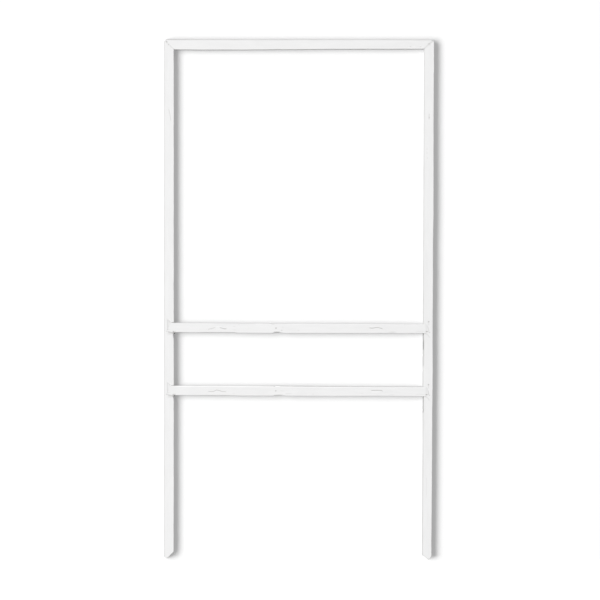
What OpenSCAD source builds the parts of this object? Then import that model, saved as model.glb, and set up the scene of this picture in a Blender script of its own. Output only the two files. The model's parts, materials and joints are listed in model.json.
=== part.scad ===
// Freestanding partition frame of painted square battens.
// Two uprights with pointed feet, a mitred top rail and two cross rails whose
// ends are let into the fronts of the uprights.
// Axes: +Z up, +X to the right, the front faces -Y.
// Origin: midway between the legs, at the level of the foot points, in the
// middle of the uprights' depth.

/* [Frame] */

// Clear width between the uprights
clear_w = 1000; // [500:10:1600]
// Height from the foot points to the top of the frame
frame_h = 2076; // [1600:2:2600]
// Face width of every batten
batten_w = 38; // [34:1:50]
// Depth of every batten, front to back
batten_d = 38; // [34:1:50]
// Radius of the softened long edges
arris_r = 1.6; // [0.8:0.1:2.4]

/* [Top corners] */

// Size of the clip across each outer top corner
corner_clip = 10; // [4:1:14]
// Thickness of the loose tongue in each mitre
tongue_t = 6; // [4:1:8]
// Length of the tongue along the mitre
tongue_l = 28; // [18:1:28]
// Width of the tongue across the mitre
tongue_w = 18; // [12:1:18]
// Length of the screw down through each top corner
corner_screw_l = 70; // [60:5:90]

/* [Cross rails] */

// Height of the lower cross rail's underside above the foot points
lower_rail_z = 652; // [300:2:700]
// Height of the upper cross rail's underside above the foot points
upper_rail_z = 904; // [850:2:1100]
// How far the cross rails stand forward of the uprights
rail_proud = 1.5; // [0.5:0.5:3]
// Thickness of the lap at each end of a cross rail
lap_t = 14; // [12:0.5:16]
// How far the lower tip of the lap reaches across the upright
lap_reach = 28; // [25:1:31]
// How far the top edge of the lap reaches across the upright
lap_top = 9.5; // [7:0.5:12]
// Depth of the open triangular notch above each lap
notch_t = 4.5; // [2:0.5:8]
// Fitting gap round the edge of each lap
lap_gap = 0.4; // [0.2:0.1:0.8]

/* [Feet] */

// Distance from the outer face to the foot point
foot_tip = 11; // [8:1:16]
// Height of the long inner cut of the foot
foot_in_h = 26.5; // [18:0.5:34]
// Height of the short outer cut of the foot
foot_out_h = 8.5; // [4:0.5:14]

/* [Fixings] */

// Length of the screws driven from the back into the laps
lap_screw_l = 35; // [30:1:36]
// Length of the pin near the tip of each lap
pin_l = 30; // [20:1:34]
// Diameter of the dowel in each butted shoulder
dowel_d = 8; // [6:1:10]
// Length of the dowel
dowel_l = 40; // [30:2:44]

/* [Hidden] */

$fn = 48;

half_in = clear_w / 2;                    // centre to an upright's inner face
half_out = half_in + batten_w;            // centre to an upright's outer face
half_mid = half_in + batten_w / 2;        // centre to an upright's middle
top_under = frame_h - batten_w;           // underside of the top rail
front_y = -batten_d / 2;                  // front of the uprights
back_y = batten_d / 2;                    // back of the uprights
rail_front_y = front_y - rail_proud;      // front of the cross rails
house_y = rail_front_y + lap_t;           // floor of the housings, back of the laps
rail_heights = [lower_rail_z, upper_rail_z];

// where the fixings sit in a rail end: u across the upright from its inner
// face, v up from the rail's underside
lap_relief = 0.3;                         // the lap's top edge is eased this much
screw_u = 8;
screw_v = [8.5, batten_w - 8.5];
pin_u = 18;
pin_v = 8;
dowel_y = (house_y + back_y - rail_proud) / 2;
corner_screw_y = 10;

wood = [0.93, 0.93, 0.92];
raw_wood = [0.80, 0.66, 0.47];
zinc = [0.72, 0.73, 0.75];

// Section of a batten with softened edges, centred
module batten_section(w, d) {
    square([w - 2 * arris_r, d], center = true);
    square([w, d - 2 * arris_r], center = true);
    for (sx = [-1, 1], sy = [-1, 1])
        translate([sx * (w / 2 - arris_r), sy * (d / 2 - arris_r)])
            circle(r = arris_r);
}

// Square batten along Z
module batten_z(len) {
    linear_extrude(height = len) batten_section(batten_w, batten_d);
}

// Square batten along X, centred on X
module batten_x(len) {
    rotate([0, 90, 0])
        translate([0, 0, -len / 2])
            linear_extrude(height = len) batten_section(batten_w, batten_d);
}

// A flat outline in u, v pushed from y0 to y1, on the right-hand upright.
// u runs across the upright from its inner face, v up from height z.
module on_right(z, y0, y1) {
    translate([half_in, y1, z])
        rotate([90, 0, 0])
            linear_extrude(height = y1 - y0) children();
}

// Outline of a lap: lower edge rising to a blunt tip, then the sloping end
module lap_outline(g) {
    polygon([
        [-1, -g], [1, -g], [lap_reach + g, 5 - g],
        [lap_reach - 3.5 + g, 18], [lap_top + g, batten_w - lap_relief + g],
        [-1, batten_w - lap_relief + g]
    ]);
}

// Outline of the open notch left above the sloping end
module notch_outline() {
    polygon([
        [lap_reach - 4, 17.5], [lap_reach - 4, batten_w + 13],
        [lap_top, batten_w], [lap_top - 0.5, batten_w - 0.5]
    ]);
}

// Countersunk wood screw, point towards -Z, head face at z = 0
module wood_screw(d, len) {
    r = d / 2;
    hr = d;                     // head radius: head is twice the shank
    core = r * 0.66;
    shank = r * 0.84;
    pitch = d * 0.42;
    plain = len * 0.30;
    cone = hr - core;
    turns = floor((len - plain - 2.2 * r - cone) / pitch);
    ridge_pts = [for (i = [0 : turns - 1])
        let (z = -plain - cone - i * pitch)
        each [[core, z], [r, z - pitch * 0.45], [core, z - pitch * 0.9]]];
    difference() {
        rotate_extrude()
            polygon(concat(
                [[0, 0], [hr, 0], [hr, -0.25], [shank, -0.25 - hr + shank],
                 [shank, -plain - cone + 0.6], [core, -plain - cone + 0.2]],
                ridge_pts,
                [[core, -len + 2.2 * r], [0, -len]]));
        for (a = [0, 90])
            rotate([0, 0, a])
                translate([-hr * 0.52, -hr * 0.09, -r * 0.9])
                    cube([hr * 1.04, hr * 0.18, r]);
    }
}

// Hole that takes a wood screw
module screw_hole(d, len) {
    r = d / 2;
    cone = d - r * 0.66;
    translate([0, 0, -len]) cylinder(r = r + 0.05, h = len);
    rotate_extrude()
        polygon([[0, 1], [d, 1], [d, -0.25], [r * 0.66, -0.25 - cone], [0, -0.25 - cone]]);
}

// Small headed pin, point towards -Z, head face at z = 0
module pin() {
    rotate_extrude()
        polygon([[0, 0], [1.6, 0], [1.7, -0.5], [1, -1.4], [1, -pin_l + 3], [0, -pin_l]]);
}

// Hole that takes a pin, with the punched recess over its head
module pin_hole() {
    translate([0, 0, -pin_l]) cylinder(r = 1, h = pin_l);
    translate([0, 0, -1.4]) cylinder(r = 1.7, h = 4.4);
}

// Fluted dowel along X, centred
module dowel() {
    r = dowel_d / 2;
    difference() {
        rotate([0, 90, 0]) rotate_extrude()
            polygon([[0, -dowel_l / 2], [r - 1, -dowel_l / 2], [r, -dowel_l / 2 + 1.5],
                     [r, dowel_l / 2 - 1.5], [r - 1, dowel_l / 2], [0, dowel_l / 2]]);
        for (a = [0 : 45 : 315])
            rotate([a, 0, 0])
                translate([-dowel_l / 2 - 1, -0.35, r - 0.4])
                    cube([dowel_l + 2, 0.7, 1]);
    }
}

// Hole that takes a dowel
module dowel_hole() {
    rotate([0, 90, 0]) cylinder(r = dowel_d / 2, h = dowel_l + 2, center = true);
}

// Places its children at each screw that holds a rail end on the right
module at_lap_screws() {
    for (z = rail_heights, v = screw_v)
        translate([half_in + screw_u, back_y, z + v])
            rotate([-90, 0, 0]) children();
}

// Places its children at each pin on the right
module at_pins() {
    for (z = rail_heights)
        translate([half_in + pin_u, rail_front_y + 1, z + pin_v])
            rotate([90, 0, 0]) children();
}

// Places its children at each dowel on the right
module at_dowels() {
    for (z = rail_heights)
        translate([half_in, dowel_y, z + batten_w / 2]) children();
}

// Places its children at the corner screw on the right
module at_corner_screw() {
    translate([half_mid, corner_screw_y, frame_h]) children();
}

// Loose tongue across the right-hand mitre
module tongue(g) {
    translate([half_mid, 0, frame_h - batten_w / 2])
        rotate([0, -45, 0])
            cube([tongue_l + g, tongue_t, tongue_w + g], center = true);
}

// Material above the right-hand mitre, as a cutting block
module above_mitre() {
    translate([half_in, 50, top_under])
        rotate([90, 0, 0])
            linear_extrude(height = 100)
                polygon([[-200, -200], [200, 200], [-200, 200]]);
}

// Cutting block for the clipped outer top corner on the right
module corner_cut() {
    translate([half_out, 50, frame_h])
        rotate([90, 0, 0])
            linear_extrude(height = 100)
                polygon([[-corner_clip, 0], [0, -corner_clip], [40, -corner_clip],
                         [40, 40], [-corner_clip, 40]]);
}

// Cutting blocks that leave the pointed foot on the right
module foot_cuts() {
    translate([half_out, 50, 0])
        rotate([90, 0, 0])
            linear_extrude(height = 100) {
                polygon([[-foot_tip, 0], [10, foot_out_h * (1 + 10 / foot_tip)],
                         [10, -20], [-foot_tip, -20]]);
                polygon([[-foot_tip, 0], [-foot_tip, -20], [-batten_w - 10, -20],
                         [-batten_w - 10,
                          foot_in_h * (1 + 10 / (batten_w - foot_tip))]]);
            }
}

// Right-hand upright; the left one is its mirror image
module upright() {
    difference() {
        translate([half_mid, 0, 0]) batten_z(frame_h);
        // mitre at the top: the part above the slope belongs to the top rail
        above_mitre();
        corner_cut();
        foot_cuts();
        for (z = rail_heights) {
            on_right(z, front_y - 5, house_y) lap_outline(lap_gap);
            on_right(z, front_y - 5, front_y + notch_t) notch_outline();
        }
        at_lap_screws() screw_hole(4, lap_screw_l);
        at_pins() pin_hole();
        at_dowels() dowel_hole();
        at_corner_screw() screw_hole(5, corner_screw_l);
        tongue(0.5);
    }
}

module left_upright() {
    color(wood) mirror([1, 0, 0]) upright();
}

module right_upright() {
    color(wood) upright();
}

// Top rail, mitred and clipped at both ends
module top_rail() {
    color(wood)
    difference() {
        translate([0, 0, frame_h - batten_w / 2]) batten_x(2 * half_out);
        for (s = [0, 1]) mirror([s, 0, 0]) {
            translate([half_in, 50, top_under])
                rotate([90, 0, 0])
                    linear_extrude(height = 100)
                        polygon([[-200, -200], [200, 200], [200, -200]]);
            corner_cut();
            at_corner_screw() screw_hole(5, corner_screw_l);
            tongue(0.5);
        }
    }
}

// Cross rail: square shoulders butt the uprights, a lap runs on in front
module cross_rail(z) {
    difference() {
        union() {
            translate([0, -rail_proud, z + batten_w / 2]) batten_x(clear_w);
            for (s = [0, 1]) mirror([s, 0, 0])
                intersection() {
                    on_right(z, rail_front_y, house_y) lap_outline(0);
                    translate([half_in, -rail_proud, z + batten_w / 2]) batten_x(100);
                }
        }
        for (s = [0, 1]) mirror([s, 0, 0]) {
            at_lap_screws() screw_hole(4, lap_screw_l);
            at_pins() pin_hole();
            at_dowels() dowel_hole();
        }
    }
}

module upper_cross_rail() {
    color(wood) cross_rail(upper_rail_z);
}

module lower_cross_rail() {
    color(wood) cross_rail(lower_rail_z);
}

module left_mitre_tongue() {
    color(raw_wood) mirror([1, 0, 0]) tongue(0);
}

module right_mitre_tongue() {
    color(raw_wood) tongue(0);
}

// One screw down through each top corner
module corner_screws() {
    color(zinc)
    for (s = [0, 1]) mirror([s, 0, 0])
        at_corner_screw() wood_screw(5, corner_screw_l);
}

// Two screws into the back of each lap
module lap_screws() {
    color(zinc)
    for (s = [0, 1]) mirror([s, 0, 0])
        at_lap_screws() wood_screw(4, lap_screw_l);
}

// One punched pin near the tip of each lap
module rail_end_pins() {
    color(zinc)
    for (s = [0, 1]) mirror([s, 0, 0])
        at_pins() pin();
}

// One dowel in each butted shoulder
module rail_dowels() {
    color(raw_wood)
    for (s = [0, 1]) mirror([s, 0, 0])
        at_dowels() dowel();
}

left_upright();
right_upright();
top_rail();
upper_cross_rail();
lower_cross_rail();
left_mitre_tongue();
right_mitre_tongue();
corner_screws();
lap_screws();
rail_end_pins();
rail_dowels();
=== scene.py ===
import json
import math

import bmesh
import bpy
import numpy as np
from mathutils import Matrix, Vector

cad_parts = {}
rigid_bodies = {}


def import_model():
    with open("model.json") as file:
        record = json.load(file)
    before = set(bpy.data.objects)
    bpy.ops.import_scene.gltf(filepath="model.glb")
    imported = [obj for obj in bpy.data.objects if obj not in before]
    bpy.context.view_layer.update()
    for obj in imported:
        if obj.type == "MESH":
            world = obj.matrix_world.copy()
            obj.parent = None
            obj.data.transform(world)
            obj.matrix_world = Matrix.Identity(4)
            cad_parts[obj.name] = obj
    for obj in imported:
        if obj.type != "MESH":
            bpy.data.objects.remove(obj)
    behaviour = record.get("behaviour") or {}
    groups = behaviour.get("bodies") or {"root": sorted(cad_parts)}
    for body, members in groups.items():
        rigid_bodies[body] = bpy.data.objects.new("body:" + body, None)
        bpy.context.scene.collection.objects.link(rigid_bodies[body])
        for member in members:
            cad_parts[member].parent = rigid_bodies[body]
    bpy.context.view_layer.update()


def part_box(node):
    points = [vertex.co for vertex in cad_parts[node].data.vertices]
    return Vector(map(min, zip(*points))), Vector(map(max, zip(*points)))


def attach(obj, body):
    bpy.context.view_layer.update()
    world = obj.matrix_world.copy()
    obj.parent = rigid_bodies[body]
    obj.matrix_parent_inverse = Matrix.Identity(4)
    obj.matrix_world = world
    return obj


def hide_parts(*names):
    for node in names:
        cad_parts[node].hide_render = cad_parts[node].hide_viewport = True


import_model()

MM = 0.001


# ------------------------------------------------------------ node helpers
def new_material(name):
    m = bpy.data.materials.new(name)
    m.use_nodes = True
    nt = m.node_tree
    nt.nodes.clear()
    return m, nt


def node(nt, kind, x=0, y=0, **props):
    n = nt.nodes.new(kind)
    n.location = (x, y)
    for k, v in props.items():
        setattr(n, k, v)
    return n


def math_node(nt, op, a, b=None, x=0, y=0, clamp=False):
    n = node(nt, "ShaderNodeMath", x, y, operation=op, use_clamp=clamp)
    for i, v in enumerate((a, b)):
        if v is None:
            continue
        if isinstance(v, (int, float)):
            n.inputs[i].default_value = v
        else:
            nt.links.new(v, n.inputs[i])
    return n.outputs[0]


def map_range(nt, v, a, b, c, d, x=0, y=0):
    n = node(nt, "ShaderNodeMapRange", x, y)
    nt.links.new(v, n.inputs["Value"])
    for k, val in zip(("From Min", "From Max", "To Min", "To Max"), (a, b, c, d)):
        n.inputs[k].default_value = val
    return n.outputs[0]


def noise(nt, vec, scale, detail=4.0, rough=0.55, x=0, y=0, distortion=0.0):
    n = node(nt, "ShaderNodeTexNoise", x, y)
    nt.links.new(vec, n.inputs["Vector"])
    n.inputs["Scale"].default_value = scale
    n.inputs["Detail"].default_value = detail
    n.inputs["Roughness"].default_value = rough
    n.inputs["Distortion"].default_value = distortion
    return n.outputs["Fac"]


def stretched(nt, coord, along, k_long, k_across, x=0, y=0, shift=(0, 0, 0)):
    """Object coordinates squeezed along the grain, so noise runs lengthwise."""
    m = node(nt, "ShaderNodeMapping", x, y)
    nt.links.new(coord, m.inputs["Vector"])
    s = [k_across] * 3
    s["XYZ".index(along)] = k_long
    m.inputs["Scale"].default_value = s
    m.inputs["Location"].default_value = shift
    return m.outputs[0]


PAINT = 0.707


def white_paint(name, along, shift):
    """Brushed white paint over planed softwood, grain along the given axis."""
    m, nt = new_material(name)
    L = nt.links.new
    out = node(nt, "ShaderNodeOutputMaterial", 1500)
    b = node(nt, "ShaderNodeBsdfPrincipled", 1150)
    L(b.outputs[0], out.inputs[0])
    tc = node(nt, "ShaderNodeTexCoord", -1400)
    obj = tc.outputs["Object"]
    grain_v = stretched(nt, obj, along, 6.0, 420.0, -1150, 300, shift)
    brush_v = stretched(nt, obj, along, 14.0, 1500.0, -1150, 0, shift)
    patch_v = stretched(nt, obj, along, 9.0, 45.0, -1150, -300, shift)
    grain = noise(nt, grain_v, 1.0, 5.0, 0.6, -900, 300, 0.6)
    brush = noise(nt, brush_v, 1.0, 3.0, 0.55, -900, 0, 0.3)
    patch = noise(nt, patch_v, 1.0, 4.0, 0.55, -900, -300, 0.8)
    speck = noise(nt, obj, 900.0, 2.0, 0.5, -900, -600)
    mark = node(nt, "ShaderNodeAttribute", -900, -850, attribute_name="mark")

    # colour: slow patches, thin streaks where the grain shows, marks, painted shade and painted highlights
    t = map_range(nt, patch, 0.25, 0.75, 0.975, 1.02, -600, -300)
    g = map_range(nt, grain, 0.3, 0.7, 0.985, 1.01, -600, 300)
    br = map_range(nt, brush, 0.3, 0.7, 0.992, 1.008, -600, 0)
    sp = map_range(nt, speck, 0.2, 0.8, 0.985, 1.01, -600, -600)
    k = math_node(nt, "MULTIPLY", t, g, -350, 100)
    k = math_node(nt, "MULTIPLY", k, br, -200, 100)
    k = math_node(nt, "MULTIPLY", k, sp, -50, 100)
    mk = math_node(nt, "ADD", mark.outputs["Fac"], 1.0, -350, -850)
    mk = math_node(nt, "MAXIMUM", mk, 0.06, -200, -850)
    k = math_node(nt, "MULTIPLY", k, mk, 100, 0)
    k = math_node(nt, "MULTIPLY", k, PAINT, 250, 0)
    # places darkened by marks or by painted shade are a little warmer than the paint
    dark = map_range(nt, mark.outputs["Fac"], -0.45, 0.0, 1.0, 0.0, -350, -1100)
    warm = node(nt, "ShaderNodeMix", 650, 100, data_type="RGBA", blend_type="MULTIPLY")
    comb = node(nt, "ShaderNodeCombineColor", 450, 0)
    for i in range(3):
        L(k, comb.inputs[i])
    L(dark, warm.inputs["Factor"])
    L(comb.outputs[0], warm.inputs["A"])
    warm.inputs["B"].default_value = (1.0, 0.99, 0.972, 1)
    L(warm.outputs["Result"], b.inputs["Base Color"])

    # gloss: satin, duller along the streaks, in the marks and in the painted shade
    r = map_range(nt, brush, 0.25, 0.75, 0.40, 0.52, 450, -300)
    r2 = map_range(nt, patch, 0.3, 0.7, -0.03, 0.05, 450, -450)
    r = math_node(nt, "ADD", r, r2, 650, -350)
    r3 = math_node(nt, "MULTIPLY", dark, 0.3, 650, -550)
    r = math_node(nt, "ADD", r, r3, 800, -400, clamp=True)
    L(r, b.inputs["Roughness"])
    b.inputs["Specular IOR Level"].default_value = 0.42

    # relief: raised grain, brush lines, fine orange peel
    hg = math_node(nt, "MULTIPLY", grain, 1.0, -350, 500)
    b1 = node(nt, "ShaderNodeBump", 600, -700)
    b1.inputs["Strength"].default_value = 0.55
    b1.inputs["Distance"].default_value = 0.00022
    L(hg, b1.inputs["Height"])
    b2 = node(nt, "ShaderNodeBump", 780, -700)
    b2.inputs["Strength"].default_value = 0.5
    b2.inputs["Distance"].default_value = 0.00008
    L(brush, b2.inputs["Height"])
    L(b1.outputs[0], b2.inputs["Normal"])
    b3 = node(nt, "ShaderNodeBump", 960, -700)
    b3.inputs["Strength"].default_value = 0.35
    b3.inputs["Distance"].default_value = 0.00005
    L(speck, b3.inputs["Height"])
    L(b2.outputs[0], b3.inputs["Normal"])
    L(b3.outputs[0], b.inputs["Normal"])
    return m


# ------------------------------------------------------------ numpy noise
def _hash(ix, iy, seed):
    n = (ix * 374761393 + iy * 668265263 + seed * 974634777) & 0xFFFFFFFF
    n = ((n ^ (n >> 13)) * 1274126177) & 0xFFFFFFFF
    return ((n ^ (n >> 16)) & 0xFFFF) / 32767.5 - 1.0


def vn(x, y, seed):
    """Smooth value noise in -1 to 1 on arrays."""
    x = np.asarray(x, float)
    y = np.asarray(y, float) + np.zeros_like(x)
    ix, iy = np.floor(x).astype(np.int64), np.floor(y).astype(np.int64)
    fx, fy = x - ix, y - iy
    u = fx * fx * fx * (fx * (fx * 6 - 15) + 10)
    v = fy * fy * fy * (fy * (fy * 6 - 15) + 10)
    a, b = _hash(ix, iy, seed), _hash(ix + 1, iy, seed)
    c, d = _hash(ix, iy + 1, seed), _hash(ix + 1, iy + 1, seed)
    return (a * (1 - u) + b * u) * (1 - v) + (c * (1 - u) + d * u) * v


def fbm(x, y, seed, octaves=3, gain=0.5):
    s, amp, tot = 0.0, 1.0, 0.0
    for i in range(octaves):
        s = s + amp * vn(x * 2 ** i, y * 2 ** i, seed + 17 * i)
        tot += amp
        amp *= gain
    return s / tot


def smooth(t):
    t = np.clip(t, 0, 1)
    return t * t * (3 - 2 * t)


def seg_dist(px, py, pts):
    """Distance from points to a polyline and the place along it, 0 to 1."""
    best = np.full(px.shape, 1e9)
    place = np.zeros(px.shape)
    lens = [math.dist(a, b) for a, b in zip(pts, pts[1:])]
    total, run = sum(lens), 0.0
    for (ax, ay), (bx, by), ln in zip(pts, pts[1:], lens):
        t = np.clip(((px - ax) * (bx - ax) + (py - ay) * (by - ay)) / (ln * ln), 0, 1)
        d = np.hypot(px - (ax + t * (bx - ax)), py - (ay + t * (by - ay)))
        near = d < best
        best = np.where(near, d, best)
        place = np.where(near, (run + t * ln) / total, place)
        run += ln
    return best, place


# ------------------------------------------------------- marks in the wood, painted shade and painted highlights
# Each mark works in millimetres: s along the batten, v across its front face
# from the lower or left edge. It returns a height and a tone, both added up;
# some of the tones are painted shade or painted highlight.
def check_line(pts, width, depth, dark, fade=0.12, lip=0.0, lip_side=1.0, lip_w=3.0):
    """A shake or surface check in the wood that the paint has not filled; its lip is a raised ridge with a painted
    highlight.
    """
    def f(s, v):
        d, t = seg_dist(s, v, pts)
        ends = smooth(t / fade) * smooth((1 - t) / fade)
        core = np.exp(-(d / width) ** 2) * ends
        h = -depth * core
        tone = -dark * np.exp(-(d / (width * 1.15)) ** 2) * ends
        # the lip: a raised ridge beside the check, lightened with a painted highlight
        if lip:
            shifted = [(a, b - lip_side * lip_w) for a, b in pts]
            d2, t2 = seg_dist(s, v, shifted)
            e2 = smooth(t2 / 0.25) * smooth((1 - t2) / 0.25)
            ridge = np.exp(-(d2 / (lip_w * 0.55)) ** 2) * e2
            h = h + 0.35 * lip * ridge
            tone = tone + 0.055 * lip * ridge
        return h, tone
    return f


def dot(s0, v0, ra, rb, depth, dark):
    def f(s, v):
        q = np.exp(-(((s - s0) / ra) ** 2 + ((v - v0) / rb) ** 2))
        return -depth * q, -dark * q
    return f


def raised_highlight(s0, s1, v0, half, height, bright):
    """A raised patch lightened with a painted highlight, such as a lifted splinter painted over."""
    def f(s, v):
        q = smooth((s - s0) / 4) * smooth((s1 - s) / 4) * np.exp(-((v - v0) / half) ** 2)
        return height * q, bright * q
    return f


def knot(s0, v0, ra, rb, seed, depth=0.5, dark=0.03):
    """A filled knot: a faint raised ring with a dished, slightly cracked eye."""
    def f(s, v):
        x, y = (s - s0) / ra, (v - v0) / rb
        r = np.hypot(x, y)
        th = np.arctan2(y, x)
        wob = 1 + 0.12 * np.sin(3 * th + seed) + 0.07 * np.sin(5 * th + 2 * seed)
        ring = np.exp(-((r - wob) / 0.16) ** 2)
        eye = np.exp(-(r / 0.75) ** 4)
        return 0.22 * depth * ring - 0.5 * depth * eye, -dark * ring - 0.3 * dark * eye
    return f


def painted_light_band(v0, half, tone, s_wob=0.0, seed=1, fade=None):
    """A lengthwise strip of painted highlight or painted shade along an edge."""
    def f(s, v):
        k = 1 + s_wob * fbm(s / 45.0, 0 * s, seed, 3)
        if fade:
            k = k * smooth((s - fade[0]) / (fade[1] - fade[0]))
        # tone above zero is a painted highlight, below zero painted shade
        q = np.exp(-((v - v0) / half) ** 2)
        return 0 * s, tone * q * k
    return f


def nick(s0, s1, depth, ease=3.0, ease2=None):
    """An edge cut back between s0 and s1; the amount in mm as a function of s."""
    def f(s):
        return depth * smooth((s - s0) / ease) * smooth((s1 - s) / (ease2 or ease))
    return f


def patch(pts, soft, depth, tone):
    """A soft-edged sunk area, such as filler that has sunk, darkened with painted shade."""
    def f(s, v):
        q = smooth(0.5 - poly_signed(s, v, pts) / soft)
        return -depth * q, tone * q
    return f


def poly_signed(px, py, pts):
    """Signed distance to a closed outline, negative inside."""
    d, _ = seg_dist(px, py, list(pts) + [pts[0]])
    inside = np.zeros(px.shape, bool)
    n = len(pts)
    for i in range(n):
        (ax, ay), (bx, by) = pts[i], pts[(i + 1) % n]
        if ay == by:
            continue
        crosses = ((ay > py) != (by > py)) & (px < (bx - ax) * (py - ay) / (by - ay) + ax)
        inside ^= crosses
    return np.where(inside, -d, d)


# --------------------------------------------------------- batten building
def cross_steps(total, near, mid, extra=()):
    n = max(2, round((total - 2 * near[-1]) / mid))
    inner = np.linspace(near[-1], total - near[-1], n + 1)
    pts = list(near[:-1]) + list(inner) + [total - t for t in near[:-1]]
    # extra columns go on key places, in place of the ones beside them
    pts = [p for p in pts if all(abs(p - e) > 0.35 * mid for e in extra)]
    return np.array(sorted(pts + list(extra)))


def ring_places(lo, hi, base, fine, zones):
    out = [lo]
    while out[-1] < hi:
        p = out[-1]
        step = min([f for a, b, f in zones if a <= p <= b] + [fine if any(
            a - 12 <= p <= b + 12 for a, b, f in zones) else base])
        out.append(p + step)
    out[-1] = hi
    if out[-1] - out[-2] < 0.4 * fine:
        out.pop(-2)
    return np.array(out)


def batten(name, along, origin, width, depth, s_lo, s_hi, end_lo, end_hi,
           edge_lo, edge_hi, seed, marks=(), side_marks=(), zones=(), cuts=(), dents=(),
           radius=1.7, mid=1.5, a_extra=(), d_extra=(), base=3.0, fine=1.8, wear=1.0,
           zone=46.0, d_mid=4.3):
    """A planed, painted batten as one closed mesh.

    s runs along it, a across the front face from its lower or left edge, y
    from front to back. end_lo and end_hi give the cut ends at (a, y). marks
    change the height and tone of the front face, some tones being painted shade
    and painted highlight; cuts lower the front itself and darken it a little
    with painted shade.
    """
    A = cross_steps(width, [0, 0.35, 0.8, 1.4, 2.2, 3.4, 5.0], mid, a_extra)
    D = cross_steps(depth, [0, 0.5, 1.1, 2.0, 3.6], d_mid, d_extra)
    nA, nD = len(A) - 1, len(D) - 1
    pa = np.concatenate([A[:-1], np.full(nD, width), A[::-1][:-1], np.zeros(nD)])
    py = np.concatenate([np.zeros(nA), D[:-1], np.full(nA, depth), D[::-1][:-1]])
    face = np.concatenate([np.zeros(nA), np.ones(nD), np.full(nA, 2), np.full(nD, 3)]).astype(int)
    P = len(pa)
    q_len = np.concatenate([A[:-1], width + D[:-1], width + depth + (width - A[::-1][:-1]),
                            2 * width + depth + (depth - D[::-1][:-1])])
    S = ring_places(s_lo, s_hi, base, fine, zones)
    R = len(S)

    rad = []
    for c in range(4):
        r = radius * (1 + 0.2 * fbm(S / 60.0, 0 * S, seed + 31 * c, 3))
        r = r + wear * 0.9 * smooth((vn(S / 23.0, 0 * S + 5, seed + 7 * c) - 0.55) / 0.4)
        rad.append(np.clip(r, 1.0, 4.0))

    a0 = np.tile(pa, (R, 1))
    y0 = np.tile(py, (R, 1))
    na = np.zeros((R, P))
    ny = np.zeros((R, P))
    na[:, face == 1], na[:, face == 3] = 1, -1
    ny[:, face == 0], ny[:, face == 2] = -1, 1
    corners = [(0, 0, -1, -1), (width, 0, 1, -1), (width, depth, 1, 1), (0, depth, -1, 1)]
    flat_a, flat_y = a0.copy(), y0.copy()
    for c, (ca, cy, sa, sy) in enumerate(corners):
        ta, ty = np.abs(flat_a - ca), np.abs(flat_y - cy)
        r = rad[c][:, None] + np.zeros((1, P))
        m1 = (ty < 1e-6) & (ta < r)
        m2 = (ta < 1e-6) & (ty < r) & ~m1
        phi = np.radians(45) * (1 - ta / r)
        psi = np.radians(45) * (1 - ty / r)
        a0 = np.where(m1, ca - sa * r * (1 - np.sin(phi)),
                      np.where(m2, ca - sa * r * (1 - np.cos(psi)), a0))
        y0 = np.where(m1, cy - sy * r * (1 - np.cos(phi)),
                      np.where(m2, cy - sy * r * (1 - np.sin(psi)), y0))
        na = np.where(m1, sa * np.sin(phi), np.where(m2, sa * np.cos(psi), na))
        ny = np.where(m1, sy * np.cos(phi), np.where(m2, sy * np.sin(psi), ny))

    SS = np.tile(S[:, None], (1, P))
    Q = np.tile(q_len[None, :], (R, 1))
    loop = 2 * (width + depth)

    # the last stretch is drawn out or in to meet the cut
    el, eh = end_lo(flat_a, flat_y), end_hi(flat_a, flat_y)
    k_lo = np.clip(1 - (SS - s_lo) / zone, 0, 1)
    k_hi = np.clip(1 - (s_hi - SS) / zone, 0, 1)
    s1 = SS + k_lo * (el - s_lo) + k_hi * (eh - s_hi)

    # raised grain, planing waves and brushed-on unevenness
    def around(fn):
        t = smooth((Q - (loop - 12)) / 12)
        return fn(Q) * (1 - t) + fn(Q - loop) * t
    h = 0.055 * around(lambda q: fbm(SS / 150.0, q / 3.6 + 1.2 * vn(SS / 90.0, q / 14.0, seed + 3),
                                     seed + 1, 2))
    h += 0.15 * around(lambda q: fbm(SS / 120.0, q / 30.0, seed + 2, 2))
    h += 0.03 * around(lambda q: vn(SS / 7.0, q / 5.0, seed + 5))
    tone = np.zeros((R, P))
    fidx = np.where((face == 0) | (np.arange(P) == nA))[0]
    for mk in marks:
        dh, dt = mk(s1[:, fidx], flat_a[:, fidx])
        h[:, fidx] += dh
        tone[:, fidx] += dt
    # filled pinholes and small bruises on the other faces
    for i in range(16):
        rs = 0.5 + 0.5 * float(_hash(np.int64(i), np.int64(3), seed))
        rq = 0.5 + 0.5 * float(_hash(np.int64(i), np.int64(9), seed))
        s_c = s_lo + (s_hi - s_lo) * rs
        q_c = width + 6 + (loop - width - 12) * rq
        rr = 2.4 + 1.4 * float(_hash(np.int64(i), np.int64(12), seed))
        g = np.exp(-(((SS - s_c) / (rr * 2.2)) ** 2 + ((Q - q_c) / rr) ** 2))
        h -= 0.3 * g
        tone -= 0.035 * g
    # paint rubbed thin on the corners, in places
    edge_near = np.minimum.reduce([np.hypot(flat_a - ca, flat_y - cy) for ca, cy, _, _ in corners])
    rub = smooth(1 - edge_near / 2.2) * smooth((fbm(SS / 38.0, Q / 60.0, seed + 21, 3) + 0.05) / 0.5)
    tone += 0.025 * rub

    a1 = a0 + na * h
    y1 = y0 + ny * h
    for s_c, q_y, r_c, dep, side in dents:        # seats round the screw heads
        if side == "back":
            m = np.hypot(s1 - s_c, flat_a - q_y)
            on = (face == 2)[None, :]
            y1 = y1 - on * dep * smooth((r_c - m) / 2.2)
        else:
            m = np.hypot(s1 - s_c, flat_y - q_y)
            on = (face == 1)[None, :]
            a1 = a1 - on * dep * smooth((r_c - m) / 4.0)
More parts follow.
